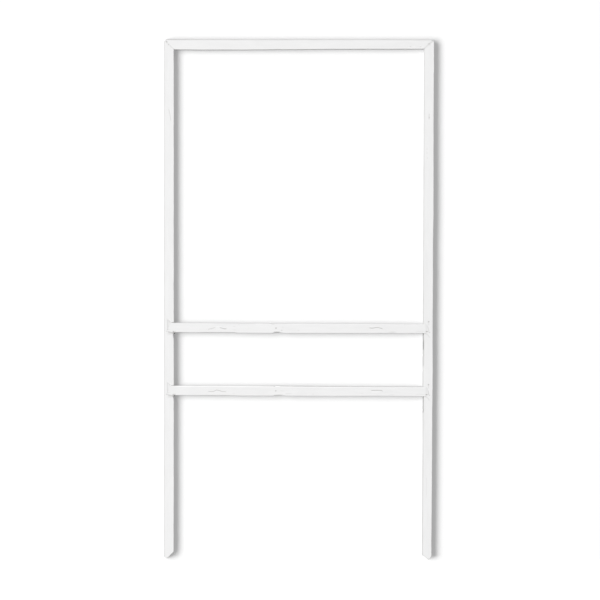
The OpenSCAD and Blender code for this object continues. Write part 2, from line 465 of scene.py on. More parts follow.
    # the housings are sunk into the front and darkened a little with painted shade
    for mask, dep in cuts:
        w = mask(s1, flat_a)
        y1 = y1 + w * dep * (1 - np.clip(y1, 0, depth) / depth)
        tone = tone - 0.06 * w * (face != 2)[None, :]

    lo = edge_lo(s1) + 0.2 * fbm(s1 / 70.0, 0 * s1, seed + 11, 3)
    hi = edge_hi(s1) + 0.2 * fbm(s1 / 70.0, 0 * s1, seed + 13, 3)
    f = a1 / width
    a1 = a1 + lo * (1 - f) + hi * f

    verts = np.stack([s1, a1, y1], axis=-1)
    vlist, tlist, faces = [verts.reshape(-1, 3)], [tone.reshape(-1)], []
    idx = np.arange(R * P).reshape(R, P)
    i00, i01 = idx[:-1], np.roll(idx, -1, axis=1)[:-1]
    i10, i11 = idx[1:], np.roll(idx, -1, axis=1)[1:]
    faces.append(np.stack([i00, i01, i11, i10], axis=-1).reshape(-1, 4))
    count = R * P
    Ag, Dg = np.meshgrid(A, D, indexing="ij")
    for ring, fn, sign in ((0, end_lo, -1), (R - 1, end_hi, 1)):
        base_v = verts[ring]
        inset = 0.5
        ring2 = base_v.copy()
        ca, cy = base_v[:, 1].mean(), depth / 2
        ring2[:, 1] -= np.where(np.abs(na[ring]) > 0.2, np.sign(base_v[:, 1] - ca) * inset, 0)
        ring2[:, 2] -= np.where(np.abs(ny[ring]) > 0.2, np.sign(base_v[:, 2] - cy) * inset, 0)
        ring2[:, 0] += sign * inset * 0.6
        ids = count + np.arange(P)
        count += P
        vlist.append(ring2)
        tlist.append(tone[ring])
        r0 = idx[ring]
        nxt, idn = np.roll(r0, -1), np.roll(ids, -1)
        quad = [r0, nxt, idn, ids] if sign > 0 else [r0, ids, idn, nxt]
        faces.append(np.stack(quad, axis=-1))
        g = -np.ones((nA + 1, nD + 1), dtype=np.int64)
        for p in range(P):
            if face[p] == 0:
                g[p, 0] = ids[p]
            elif face[p] == 1:
                g[nA, p - nA] = ids[p]
            elif face[p] == 2:
                g[nA - (p - nA - nD), nD] = ids[p]
            else:
                g[0, nD - (p - 2 * nA - nD)] = ids[p]
        full = np.zeros((nA + 1, nD + 1, 3))
        for i in range(nA + 1):
            for j in range(nD + 1):
                if g[i, j] >= 0:
                    full[i, j] = ring2[g[i, j] - ids[0]]
        U, Wt = (Ag / width)[..., None], (Dg / depth)[..., None]
        coons = ((1 - Wt) * full[:, :1] + Wt * full[:, -1:] + (1 - U) * full[:1] + U * full[-1:]
                 - ((1 - U) * (1 - Wt) * full[:1, :1] + U * (1 - Wt) * full[-1:, :1]
                    + (1 - U) * Wt * full[:1, -1:] + U * Wt * full[-1:, -1:]))
        coons[..., 0] = fn(Ag, Dg) + sign * inset * 0.6
        rr = np.hypot(Ag - width * 0.2, Dg + 14)
        coons[..., 0] -= sign * 0.12 * (0.5 + 0.5 * np.sin(rr * 2.1 + seed))
        inner = []
        for i in range(1, nA):
            for j in range(1, nD):
                g[i, j] = count
                count += 1
                inner.append(coons[i, j])
        vlist.append(np.array(inner))
        tlist.append(np.full(len(inner), -0.03))
        q = np.stack([g[:-1, :-1], g[1:, :-1], g[1:, 1:], g[:-1, 1:]], axis=-1).reshape(-1, 4)
        faces.append(q if sign > 0 else q[:, ::-1])
    V, T, F = np.concatenate(vlist), np.concatenate(tlist), np.concatenate(faces)
    ox, oy, oz = origin
    if along == "Z":
        W = np.stack([ox + V[:, 1], oy + V[:, 2], oz + V[:, 0]], axis=-1) * MM
    else:
        W = np.stack([ox + V[:, 0], oy + V[:, 2], oz + V[:, 1]], axis=-1) * MM
    a_, b_, c_ = W[F[:, 0]], W[F[:, 1]], W[F[:, 2]]
    vol = np.einsum("ij,ij->i", a_, np.cross(b_, c_)).sum()
    if vol < 0:
        F = F[:, ::-1]
    me = bpy.data.meshes.new(name)
    me.vertices.add(len(W))
    me.vertices.foreach_set("co", W.astype(np.float32).ravel())
    me.loops.add(F.size)
    me.loops.foreach_set("vertex_index", np.ascontiguousarray(F).astype(np.int32).ravel())
    me.polygons.add(len(F))
    me.polygons.foreach_set("loop_start", np.arange(0, F.size, 4, dtype=np.int32))
    me.update(calc_edges=True)
    me.validate()
    # the tone of the marks, together with painted shade and painted highlights
    at = me.attributes.new("mark", "FLOAT", "POINT")
    at.data.foreach_set("value", T.astype(np.float32))
    me.polygons.foreach_set("use_smooth", np.ones(len(me.polygons), dtype=bool))
    me.set_sharp_from_angle(angle=math.radians(38))
    ob = bpy.data.objects.new(name, me)
    bpy.context.scene.collection.objects.link(ob)
    print("piece", name, "faces", len(me.polygons), "rings", R, "around", P)
    return ob


def line(points, nicks=()):
    """An edge as offsets in mm from the model's edge, with nicks cut in it."""
    xs, ys = zip(*sorted(points))
    def f(s):
        y = np.interp(s, xs, ys)
        for n in nicks:
            y = y + n(s)
        return y
    return f


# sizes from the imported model, in millimetres
def box_mm(n):
    lo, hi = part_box(n)
    return [round(v / MM, 3) for v in lo], [round(v / MM, 3) for v in hi]


LU, RU, TR = box_mm("left_upright"), box_mm("right_upright"), box_mm("top_rail")
UC, LC = box_mm("upper_cross_rail"), box_mm("lower_cross_rail")
TOP, OUT, INN = TR[1][2], RU[1][0], RU[0][0]
W_ = OUT - INN
DEP = RU[1][1] - RU[0][1]
FRONT, RFRONT = RU[0][1], UC[0][1]
LAP_T = 14.0
HOUSE = RFRONT + LAP_T - FRONT                 # depth of the housings

# ---- the timber: each batten is a little out of true
lu_out = line([(0, -0.9), (TOP, -0.9)],
              [nick(1845, 1862, 0.8, 5), nick(1722, 1732, 0.7, 3)])
lu_in = line([(0, 0.3), (86, 0.5), (230, 1.0), (590, 1.1), (640, 0.9), (760, 0.8), (880, 0.9),
              (950, 1.1), (TOP, 1.1)],
             [nick(1985, 2030, -0.5, 8, 4), nick(880, 906, -3.4, 16, 2),
              nick(641, 654, -2.6, 9, 2)])
ru_in = line([(0, -8.7), (86, -8.4), (253, -7.4), (477, -6.0), (605, -6.0), (622, -5.4), (652, -5.4), (700, -6.3), (800, -6.2), (840, -5.6), (880, -5.3), (940, -5.1), (1036, -4.9),
              (1372, -3.3), (1800, -1.4), (1987, -0.6), (TOP, -0.3)],
             [nick(810, 822, 0.9, 3), nick(749, 759, 0.9, 3), nick(592, 602, 0.8, 3)])
ru_out = line([(0, -8.2), (86, -7.9), (253, -6.5), (365, -5.6), (477, -5.0), (589, -4.1), (757, -2.8),
               (869, -3.2), (1036, -2.6), (1148, -1.8), (1260, -1.7), (1372, 0.3), (1596, 0.7),
               (1819, 0.9), (1987, 2.5), (TOP, 2.4)],
              [nick(1845, 1851, -0.8, 3), nick(1704, 1710, -0.8, 3), nick(746, 752, 0.7, 3),
               nick(594, 600, -0.7, 3), nick(522, 528, -0.7, 3)])
tr_lo = line([(-540, -1.0), (-497, -1.8), (-470, -3.4), (-395, -4.3), (-235, -4.1), (-155, -3.6), (4, -2.5),
              (100, -1.3), (440, -1.0), (540, -0.4)],
             [nick(-499, -478, -2.0, 3, 12), nick(-96, -68, 0.9, 6), nick(-20, -8, -0.5, 4)])
tr_hi = line([(-540, 1.9), (-495, 1.7), (-440, 1.3), (-300, 0.9), (100, 0.8), (300, 0.5), (540, 0.0)],
             [nick(-88, -76, -0.7, 4)])
uc_lo = line([(-540, 3.7), (-478, 3.7), (-455, 3.1), (-430, 2.8), (-300, 2.7), (-253, 2.1), (-249, 0.9), (-120, -0.4), (-16, -0.5), (540, -0.6)],
             [nick(-103, -70, 2.9, 4, 6), nick(-74, -54, 1.2, 4, 12), nick(-500.5, -492.5, -7.4, 1.5, 3.5)])
uc_hi = line([(-540, 3.4), (-459, 3.4), (-300, 2.1), (-235, 1.1), (244, -0.3), (400, -1.2), (540, -1.9)],
             [nick(-111, -92, -1.9, 4, 3)])
lc_lo = line([(-540, 4.2), (-478, 4.2), (-455, 3.8), (-430, 3.4), (-315, 3.4), (-253, 2.7), (-249, 1.7), (-120, 1.1), (84, 0.6), (360, 0.3), (440, -0.4), (480, -0.9), (540, -0.9)],
             [nick(-100, -57, 2.6, 5, 8), nick(-500.5, -492.5, -5.0, 1.5, 3.5)])
lc_hi = line([(-540, 4.3), (-330, 4.2), (-235, 3.9), (0, 2.6), (284, 0.3), (540, -0.1)],
             [nick(-102, -96, -1.6, 3, 2), nick(-95, -76, 1.3, 5, 6)])

# ---- where the joints fall on the visible faces
IN_L = IN_L_LOW = -INN + 0.9                    # inner faces of the uprights
IN_R_UP, IN_R_LOW = INN - 4.4, INN - 5.1
LAP_LEFT = [(0, 0.5), (4.6, 28.0), (18, 23.2), (36.5, 10.6), (38, 9.6)]
LAP_RIGHT = [(0, 12.0), (1.2, 19.5), (4.6, 22.0), (19, 22.2), (25, 20.4), (32.0, 15.6),
             (35.6, 11.0), (38, 4.0)]


def rail_ends(in_l, in_r):
    lap_l = lambda a: np.interp(a, *zip(*LAP_LEFT))
    lap_r = lambda a: np.interp(a, *zip(*LAP_RIGHT))
    lo = lambda a, y: np.where(y < LAP_T, in_l - lap_l(a), in_l - 0.0 * a)
    hi = lambda a, y: np.where(y < LAP_T, in_r + lap_r(a), in_r + 0.0 * a)
    return lo, hi


def housing(under, side, lap, rail_h):
    """The opening cut for a lap, as a mask over an upright's front face; the
    lap's own edge covers its rim, and paint has closed the joint line."""
    pts = [(-4.0, 0.0), (0.5, 0.0)] + [(u, v * rail_h / 38.0) for v, u in lap[1:]]
    pts += [(-4.0, rail_h)]
    def mask(s, a):
        u = (W_ - a) if side == "left" else a
        return smooth(0.5 - (poly_signed(u, s - under, pts) + 1.1) / 1.0)
    return mask


UP_L, UP_R = UC[0][2] + 3.5, UC[0][2] - 0.6      # undersides where they meet the uprights
LO_L, LO_R = LC[0][2] + 3.9, LC[0][2] - 0.1
# ---- what the front of each batten shows, in mm along it and across it
UC_MARKS = [
    check_line([(-361.0, 6.0), (-359.8, 13.6), (-349.1, 15.0), (-339.1, 18.6), (-331.1, 20.2)],
               1.2, 0.5, 0.27, 0.2, lip=0.5, lip_side=1, lip_w=3.2),
    check_line([(-318.0, 20.2), (-305.1, 17.0), (-297.1, 15.0), (-287.0, 15.4)],
               1.2, 0.6, 0.42, 0.15, lip=0.5, lip_side=-1, lip_w=3.4),
    # the two lifts here are painted highlights on raised paint beside the check
    raised_highlight(-333, -306, 23.8, 2.0, 0.12, 0.06), raised_highlight(-332, -302, 13.6, 2.0, 0.12, 0.05),
    dot(-258, 25, 5, 1.6, 0.12, 0.11), dot(-257, 11, 6, 1.7, 0.12, 0.10),
    dot(-239.2, 33, 2.4, 1.5, 0.1, 0.10),
    dot(-104, 37.4, 7, 1.3, 0.3, 0.30), dot(-91.5, 18.6, 2.7, 2.6, 0.6, 0.52),
    dot(-68.7, 10.4, 3.2, 1.7, 0.3, 0.30), dot(-64.3, 23.4, 2.4, 1.5, 0.15, 0.10),
    # the long dark dot at the bottom edge by the nick is painted shade
    dot(-86, 0.6, 13, 2.4, 0.2, 0.50), dot(-1.6, 11.2, 3.2, 2.0, 0.12, 0.12),
    check_line([(276.8, 21.8), (292.7, 20.2), (305, 22.0), (316.3, 23.2), (330.7, 19.4),
                (337.9, 15.2)], 1.3, 0.5, 0.40, 0.15, lip=0.5, lip_side=1, lip_w=4.2),
    raised_highlight(282, 334, 27.0, 1.9, 0.1, 0.055),
    dot(374, 4.4, 12, 2.7, 0.1, 0.19), dot(423.7, 35.0, 3, 1.6, 0.1, 0.10),
    knot(-322, 19, 30, 9, 1, 0.25, 0.012), knot(307, 18, 34, 10, 4, 0.25, 0.012),
    # painted highlight just below the top arris and above the bottom arris; painted shade along the bottom arris
    painted_light_band(36.0, 1.8, 0.055, 0.8, 5, (-220, -150)), painted_light_band(2.6, 1.8, 0.04, 0.8, 9), painted_light_band(0.0, 0.78, -0.78, 0.2, 10, (-500, -480)),
    # painted shade: dark lines along the bottom edge and at its nick; painted highlight on the top arris
    check_line([(-396, -0.1), (-320, -0.1), (-250, -0.1)], 0.9, 0.1, 0.45, 0.04),
    check_line([(-102, 1.4), (-88, 1.2), (-74, 1.4)], 1.6, 0.3, 0.35, 0.2),
    raised_highlight(-175, -142, 36.0, 1.8, 0.05, 0.05),
]
LC_MARKS = [
    check_line([(-366.6, 14.6), (-341.5, 15.0), (-328.7, 21.0), (-315.9, 18.4), (-306.7, 15.0),
                (-292.5, 14.8)], 1.2, 0.5, 0.33, 0.14, lip=0.5, lip_side=1, lip_w=3.6),
    dot(-294.5, 14.8, 3.4, 1.6, 0.3, 0.24), dot(-259.2, 7.4, 4, 1.6, 0.1, 0.08),
    # the lift on this line is a painted highlight on the top arris
    dot(-98.2, 37.6, 2.6, 1.5, 0.5, 0.34), raised_highlight(-96, -75, 36.8, 2.3, 0.3, 0.15),
    dot(-92.3, 17.8, 2.6, 2.3, 0.5, 0.40), dot(-66, 17.8, 7, 1.5, 0.1, 0.10),
    check_line([(-57, 9.8), (-25, 9.8)], 1.2, 0.15, 0.12, 0.3),
    # the long dark dot at the bottom edge by the nick is painted shade
    dot(-79, 0.8, 17, 2.0, 0.2, 0.30), dot(56.3, 7.0, 3.4, 1.8, 0.12, 0.12),
    check_line([(284.8, 23.0), (318, 23.4), (330.7, 23.0), (337.1, 16.6)],
               1.3, 0.5, 0.40, 0.15, lip=0.5, lip_side=1, lip_w=4.0),
    # painted highlights on raised paint beside the check
    raised_highlight(290, 332, 28.4, 1.9, 0.1, 0.05), raised_highlight(288, 326, 16.0, 1.9, 0.1, 0.05),
    dot(251, 10.8, 7, 1.5, 0.1, 0.09), dot(373, 5.8, 9, 1.6, 0.1, 0.10),
    knot(-327, 19, 32, 9, 2, 0.25, 0.012), knot(309, 20, 32, 10, 7, 0.25, 0.012),
    # painted highlight just below the top arris and faintly above the bottom arris; painted shade along the bottom
    # arris
    painted_light_band(35.8, 2.0, 0.20, 0.25, 15, (-505, -482)), painted_light_band(2.4, 1.8, 0.03, 0.8, 19), painted_light_band(0.0, 0.8, -0.56, 0.2, 20, (-500, -480)),
    # painted shade: a dark line along the bottom edge, and along the top arris
    check_line([(-396, -0.1), (-320, -0.1), (-290, -0.1)], 0.9, 0.1, 0.30, 0.04),
    painted_light_band(37.6, 1.0, -0.12, 0.2, 22), painted_light_band(37.6, 1.0, -0.60, 0.2, 21, (-180, -60)),
]
TR_MARKS = [
    # painted highlights on raised paint near the right end
    raised_highlight(434, 449, 7.0, 1.7, 0.2, 0.055), raised_highlight(452, 467, 9.8, 1.7, 0.2, 0.055),
    raised_highlight(480, 489, 14.2, 1.7, 0.15, 0.05), raised_highlight(491, 500, 10.2, 1.7, 0.15, 0.05),
    dot(445.7, 11.4, 3, 1.5, 0.3, 0.22), dot(485.6, 10.4, 3, 1.5, 0.3, 0.20),
    dot(519, 21, 5, 4, 0.1, 0.03),
    # painted shade along the top arris and the bottom arris, and a faint painted highlight just above the bottom
    # arris
    painted_light_band(37.4, 1.5, -0.20, 0.25, 25), painted_light_band(37.4, 1.5, -0.26, 0.2, 26, (-380, -500)),
    painted_light_band(1.6, 1.4, 0.02, 0.5, 29), painted_light_band(0.0, 1.6, -1.15, 0.15, 30), painted_light_band(0.0, 1.4, -0.24, 0.2, 31, (40, 120)),
    # the joint lines of the two mitres
    check_line([(-526, 26.5), (-530, 32.5)], 2.4, 0.4, 0.30, 0.1), dot(-520.5, 19.0, 2.4, 2.4, 0.4, 0.30),
    check_line([(-501.5, 1.5), (-508, 8), (-518, 18)], 1.6, 0.3, 0.19, 0.2), dot(-502.5, 2.6, 3.6, 2.2, 0.3, 0.18),
    check_line([(503, 3.5), (515, 15.5), (530, 30.5)], 2.6, 0.2, 0.14, 0.15), dot(503.5, 2.5, 3.6, 3.2, 0.3, 0.26), dot(534.0, 34.5, 3.6, 3.4, 0.3, 0.24),
    dot(520.0, 22.4, 3.4, 2.4, 0.3, 0.18), dot(530.0, 28.4, 3.0, 2.4, 0.3, 0.18),
    # the strong dark dot at -492 is painted shade in the inner corner, where the bottom edge drops in a small nick
    dot(521.0, 16.5, 4.0, 3.4, 0.1, 0.10), dot(-492.0, -0.8, 8.0, 3.0, 0.2, 1.1),
]
LU_MARKS = [
    check_line([(1803.2, 17.0), (1787.2, 21.0), (1767.3, 25.0), (1747.3, 26.6)],
               1.4, 0.3, 0.17, 0.2, lip=0.3, lip_side=1, lip_w=3.4),
    # painted shade along the left edge, a faint painted highlight along the right edge
    painted_light_band(0.9, 2.3, -0.20, 0.25, 35), painted_light_band(37.0, 1.5, 0.01, 0.5, 39),
    check_line([(2039, 37.2), (2045.5, 30.6), (2055, 20.6)], 1.6, 0.3, 0.19, 0.2),
    dot(2057.0, 18.0, 2.6, 2.6, 0.4, 0.36), check_line([(2063, 13.4), (2071, 8.4)], 2.2, 0.4, 0.26, 0.1),
]
for dz, k in ((0.0, 1.0), (LC[0][2] - UC[0][2] + 0.4, 0.45)):
    LU_MARKS += [
        # painted shade in the sunk triangle by the lap
        patch([(960.0 + dz, 13.4), (957.0 + dz, 20.0), (944.0 + dz, 29.5), (925.0 + dz, 16.6),
               (923.0 + dz, 13.6)], 2.6, 0.9, -0.075 * k),
        check_line([(960.5 + dz, 14.4), (942 + dz, 14.2), (924 + dz, 14.6)], 1.7, 0.2, 0.045 * k, 0.15),
        check_line([(956.5 + dz, 17.5), (952 + dz, 21.0), (946.5 + dz, 25.6)], 1.7, 0.4, 0.12, 0.2), dot(949.0 + dz, 23.6, 2.2, 2.2, 0.3, 0.10),
        check_line([(946.2 + dz, 27.5), (946.4 + dz, 33), (946.8 + dz, 39)], 1.4, 0.5, 0.46, 0.1),
        check_line([(911.8 + dz, 6.0), (910.8 + dz, 18.0), (909.6 + dz, 28)], 1.7, 0.5, 0.20, 0.15),
        check_line([(908.0 + dz, 14.0), (906.6 + dz, 27), (905.6 + dz, 38.5)], 1.8, 0.5, 0.24, 0.15),
        # painted shadow below the lap, and painted shade in the inner corner under the rail
        dot(902.0 + dz, 26.0, 5.0, 11.0, 0.2, 0.13), dot(904.5 + dz, 36.0, 2.6, 3.4, 0.4, 0.26),
    
    ]
# painted shade along the cut edges of the foot
LU_MARKS += [dot(5.0, 10.6, 3.0, 3.4, 0.1, 0.14), check_line([(30, 36), (17, 23), (6, 12)], 1.4, 0.1, 0.10, 0.1)]
RU_MARKS = [
    # painted shade along the cut edges of the foot
    check_line([(19.5, 1.0), (13.6, 10.0), (4.0, 19.0), (0.5, 23.5)], 1.5, 0.1, 0.12, 0.1),
    dot(0.8, 29.5, 3.6, 4.2, 0.2, 0.26),
    check_line([(1783.2, 21.2), (1768, 20.6), (1755.3, 21.2)], 1.4, 0.3, 0.20, 0.2),
    dot(1765.3, 21.2, 2.4, 2.0, 0.4, 0.22), dot(1639.5, 13.2, 2.4, 1.8, 0.3, 0.16),
    dot(1623.5, 13.2, 2.4, 1.8, 0.3, 0.16), dot(1603.5, 14.8, 2.4, 1.8, 0.3, 0.15),
    check_line([(337.5, 16.4), (290, 15.8), (241.6, 16.4)], 1.5, 0.12, 0.08, 0.2),
    # painted shade along the left edge
    painted_light_band(0.9, 2.3, -0.21, 0.3, 45), painted_light_band(0.6, 1.6, -0.12, 0.2, 47, (1180, 1000)),
    check_line([(2043.3, 4.6), (2054.3, 15.6), (2069.3, 30.6)], 2.6, 0.2, 0.11, 0.15),
    dot(2061.2, 20.6, 2.8, 3.2, 0.3, 0.24), dot(2067.2, 30.6, 2.6, 3.0, 0.3, 0.16),
    dot(2055.3, 21.6, 3.6, 3.6, 0.1, 0.09),
    # painted shade along the inner edge between the rails
    check_line([(884, 3.4), (830, 3.2), (765, 3.0)], 2.4, 0.1, 0.17, 0.12),
]
for dz in (0.0, LC[0][2] - UC[0][2] + 0.4):
    RU_MARKS += [
        dot(950.1 + dz, 22.4, 2.6, 2.8, 0.7, 0.40), dot(907.0 + dz, 26.2, 2.0, 2.4, 0.5, 0.30),
        check_line([(939.6 + dz, 2.0), (938.4 + dz, 9), (935.0 + dz, 14.4)], 1.5, 0.3, 0.10, 0.15),
        check_line([(951 + dz, 22.8), (942 + dz, 22.8), (934 + dz, 22.6)], 1.9, 0.2, 0.12, 0.12),
        # painted shade: the dark line along the inner edge below the rail, and the dots at 902.5 and 900.6 in the
        # corner under it
        check_line([(905.0 + dz, 0.9), (880 + dz, 0.7), (835 + dz, 0.9)], 2.2, 0.1, 0.46, 0.1),
        dot(902.5 + dz, 1.2, 4.6, 2.4, 0.5, 0.25),
        check_line([(902.4 + dz, 0.6), (901.4 + dz, 12), (895.6 + dz, 20.6), (884 + dz, 27)],
                   1.8, 0.2, 0.14, 0.15),
        dot(900.6 + dz, 2.2, 3.2, 3.0, 0.3, 0.26),
    ]

# dark places that belong to the lap tips of the rails, and painted shade in the corner under each rail
def ease_tip(s0, run, drop):
    """The tip of a lap, planed down until it's nearly flush with the upright."""
    return lambda s, v: (-drop * smooth((s - s0) / run), 0 * s)


for marks, inner_r in ((UC_MARKS, IN_R_UP), (LC_MARKS, IN_R_LOW)):
    marks.append(ease_tip(inner_r + 9.0, 12.0, 1.15))
    # painted shade: nearly black at the left end of the bottom edge, where the nick in uc_lo and lc_lo drops the
    # edge into the corner
    marks.append(dot(-497.0, -1.0, 3.0, 6.3, 0.2, 1.4))
    marks.append(dot(inner_r + 14.6, 7.2, 3.2, 1.9, 0.8, 0.50))
    marks.append(check_line([(inner_r + 15, 7.0), (inner_r + 21, 7.0)], 1.3, 0.3, 0.22, 0.2))
    marks.append(dot(-519.5, 10.5, 5.5, 1.6, 0.2, 0.12))
    marks.append(check_line([(inner_r - 34, 7.6), (inner_r + 12, 7.4)], 1.6, 0.1, 0.07, 0.3))

rings_joint = [(885, 962, 0.8), (633, 710, 0.8), (2030, 2080, 1.0), (-5, 40, 1.3),
               (1744, 1806, 1.4)]
uc_zones = [(-372, -280, 1.0), (-116, -56, 1.0), (270, 344, 1.0), (-536, -498, 0.9),
            (486, 536, 0.9)]


def flat_end(v):
    return lambda a, y: v + 0 * a


def mitre_end(r_in, slope_w, under, top, sign, gap, clip):
    """End of the top rail: r_in is the inner corner's distance from the middle."""
    def f(a, y):
        e = r_in + np.minimum(a * slope_w, slope_w * W_ - clip + (W_ - a)) - gap(a)
        return sign * e
    return f


def upright_top(under, slope, gap, clip, inner_low):
    """Top of an upright; a runs from its left edge, the inner edge is at a=0 if inner_low."""
    def f(a, y):
        u = a if inner_low else W_ - a
        return under + np.minimum(slope * u, (1 + slope) * W_ - clip - u) - gap(u)
    return f


gap_l = lambda a: 0.10 + 0.35 * np.exp(-((a - 3) / 4.0) ** 2)
gap_r = lambda a: 0.15 + 4.6 * np.exp(-(a / 7.0) ** 2) + 0.35 * smooth((a - 8) / 8)

left_upright = batten(
    "left_upright_timber", "Z", (-OUT, FRONT, 0.0), W_, DEP, 12.0, 2057.0,
    lambda a, y: np.interp(a, [0, 4.5, 10.6, 24, 38], [12.6, 8.6, 4.0, 18.0, 32.2])
    - 2.0 * smooth((a - 11) / 9) * np.clip(y / DEP, 0, 1),
    upright_top(2037.4, 1.048, lambda u: 0.5 * gap_l(u), 8.6, False),
    lu_out, lu_in, 3, LU_MARKS, zones=rings_joint, radius=1.8,
    cuts=[(housing(UP_L, "left", LAP_LEFT, 37.9), HOUSE),
          (housing(LO_L, "left", LAP_LEFT, 38.4), HOUSE)],
    dents=[(z + v, -508.0 + OUT, 5.6, 0.45, "back")
           for z in (LC[0][2], UC[0][2]) for v in (8.5, 29.5)])
right_upright = batten(
    "right_upright_timber", "Z", (INN, FRONT, 0.0), W_, DEP, 12.0, 2057.0,
    lambda a, y: np.interp(a, [0, 3.2, 11.0, 15.5, 23.0, 26.8, 33.0, 38], [20.6, 16.4, 12.0, 8.0, 0.0, -0.8, 5.8, 16.8]),
    upright_top(2038.8, 1.0, lambda u: 0.3 * gap_r(u), 9.6, True),
    ru_in, ru_out, 8, RU_MARKS, zones=rings_joint, radius=1.7,
    cuts=[(housing(UP_R, "right", LAP_RIGHT, 36.7), HOUSE),
          (housing(LO_R, "right", LAP_RIGHT, 38.0), HOUSE)],
    dents=[(z + v, 508.0 - INN + d, 5.6, 0.45, "back")
           for z, d in ((LC[0][2], 7.0), (UC[0][2], 5.6)) for v in (8.5, 29.5)])
top_rail = batten(
    "top_rail_timber", "X", (0.0, FRONT, TOP - W_), W_, DEP, -519.0, 519.0,
    mitre_end(INN - 0.6, 1.02, 0, 0, -1, lambda a: 0.5 * gap_l(a), 8.0),
    mitre_end(INN + 0.3, 1.02, 0, 0, 1, lambda a: 0.7 * gap_r(a), 9.6),
    tr_lo, tr_hi, 5, TR_MARKS, radius=1.8, base=2.6,
    zones=[(430, 502, 1.2), (-530, -480, 1.2), (500, 530, 1.2)],
    dents=[(sx * 519.0, 29.0, 9.0, 0.5, "top") for sx in (-1, 1)])
lo_e, hi_e = rail_ends(IN_L, IN_R_UP)
upper_rail = batten(
    "upper_cross_rail_timber", "X", (0.0, RFRONT, UC[0][2]), W_, DEP, -512.0, 508.0, lo_e, hi_e,
    uc_lo, uc_hi, 13, UC_MARKS, radius=1.6, mid=0.95, zones=uc_zones, base=2.2, fine=1.4,
    a_extra=(4.6, 18.0), d_extra=(LAP_T - 0.02, LAP_T + 0.02), zone=34.0, d_mid=5.0)
lo_e, hi_e = rail_ends(IN_L_LOW, IN_R_LOW)
lower_rail = batten(
    "lower_cross_rail_timber", "X", (0.0, RFRONT, LC[0][2]), W_, DEP, -512.0, 508.0, lo_e, hi_e,
    lc_lo, lc_hi, 19, LC_MARKS, radius=1.6, mid=0.95, zones=uc_zones, base=2.2, fine=1.4,
    a_extra=(4.6, 18.0), d_extra=(LAP_T - 0.02, LAP_T + 0.02), zone=34.0, d_mid=5.0)

PIECES = [(left_upright, "left_upright", "Z", (0.3, 0.1, 0.7)),
          (right_upright, "right_upright", "Z", (1.7, 2.3, 0.1)),
          (top_rail, "top_rail", "X", (3.1, 0.4, 1.9)),
          (upper_rail, "upper_cross_rail", "X", (5.3, 1.2, 2.6)),
          (lower_rail, "lower_cross_rail", "X", (7.7, 3.9, 4.4))]
for ob, n, along, shift in PIECES:
    ob.data.materials.append(white_paint("painted_batten_" + n, along, shift))
    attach(ob, "root")
    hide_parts(n)


# ------------------------------------------------ materials of the fixings
def wood_material(name, dark, light, along, ring_scale, rough, plies=0.0, ply_axis=None):
    m, nt = new_material(name)
    L = nt.links.new
    out = node(nt, "ShaderNodeOutputMaterial", 900)
    b = node(nt, "ShaderNodeBsdfPrincipled", 600)
    L(b.outputs[0], out.inputs[0])
    obj = node(nt, "ShaderNodeTexCoord", -1100).outputs["Object"]
    v = stretched(nt, obj, along, 25.0, ring_scale, -900, 0)
    n1 = noise(nt, v, 1.0, 6.0, 0.62, -650, 100, 1.2)
    n2 = noise(nt, obj, 1400.0, 3.0, 0.5, -650, -200)
    t = n1
    if plies:
        mp = node(nt, "ShaderNodeMapping", -900, -500)
        L(obj, mp.inputs["Vector"])
        wv = node(nt, "ShaderNodeTexWave", -650, -500, wave_type="BANDS",
                  bands_direction=ply_axis)
        L(mp.outputs[0], wv.inputs["Vector"])
        wv.inputs["Scale"].default_value = plies
        wv.inputs["Distortion"].default_value = 0.4
        t = math_node(nt, "ADD", math_node(nt, "MULTIPLY", n1, 0.6, -450, 50),
                      math_node(nt, "MULTIPLY", wv.outputs["Fac"], 0.4, -450, -450), -300, 0)
    ramp = node(nt, "ShaderNodeValToRGB", -150, 100)
    ramp.color_ramp.elements[0].position = 0.3
    ramp.color_ramp.elements[0].color = (*dark, 1)
    ramp.color_ramp.elements[1].position = 0.72
    ramp.color_ramp.elements[1].color = (*light, 1)
    L(t, ramp.inputs["Fac"])
    L(ramp.outputs["Color"], b.inputs["Base Color"])
    L(map_range(nt, n2, 0.3, 0.7, rough - 0.08, rough + 0.08, 100, -250), b.inputs["Roughness"])
    bp = node(nt, "ShaderNodeBump", 300, -400)
    bp.inputs["Strength"].default_value = 0.5
    bp.inputs["Distance"].default_value = 0.0002
    L(math_node(nt, "ADD", n1, math_node(nt, "MULTIPLY", n2, 0.4, 0, -550), 120, -500),
      bp.inputs["Height"])
    L(bp.outputs[0], b.inputs["Normal"])
    return m


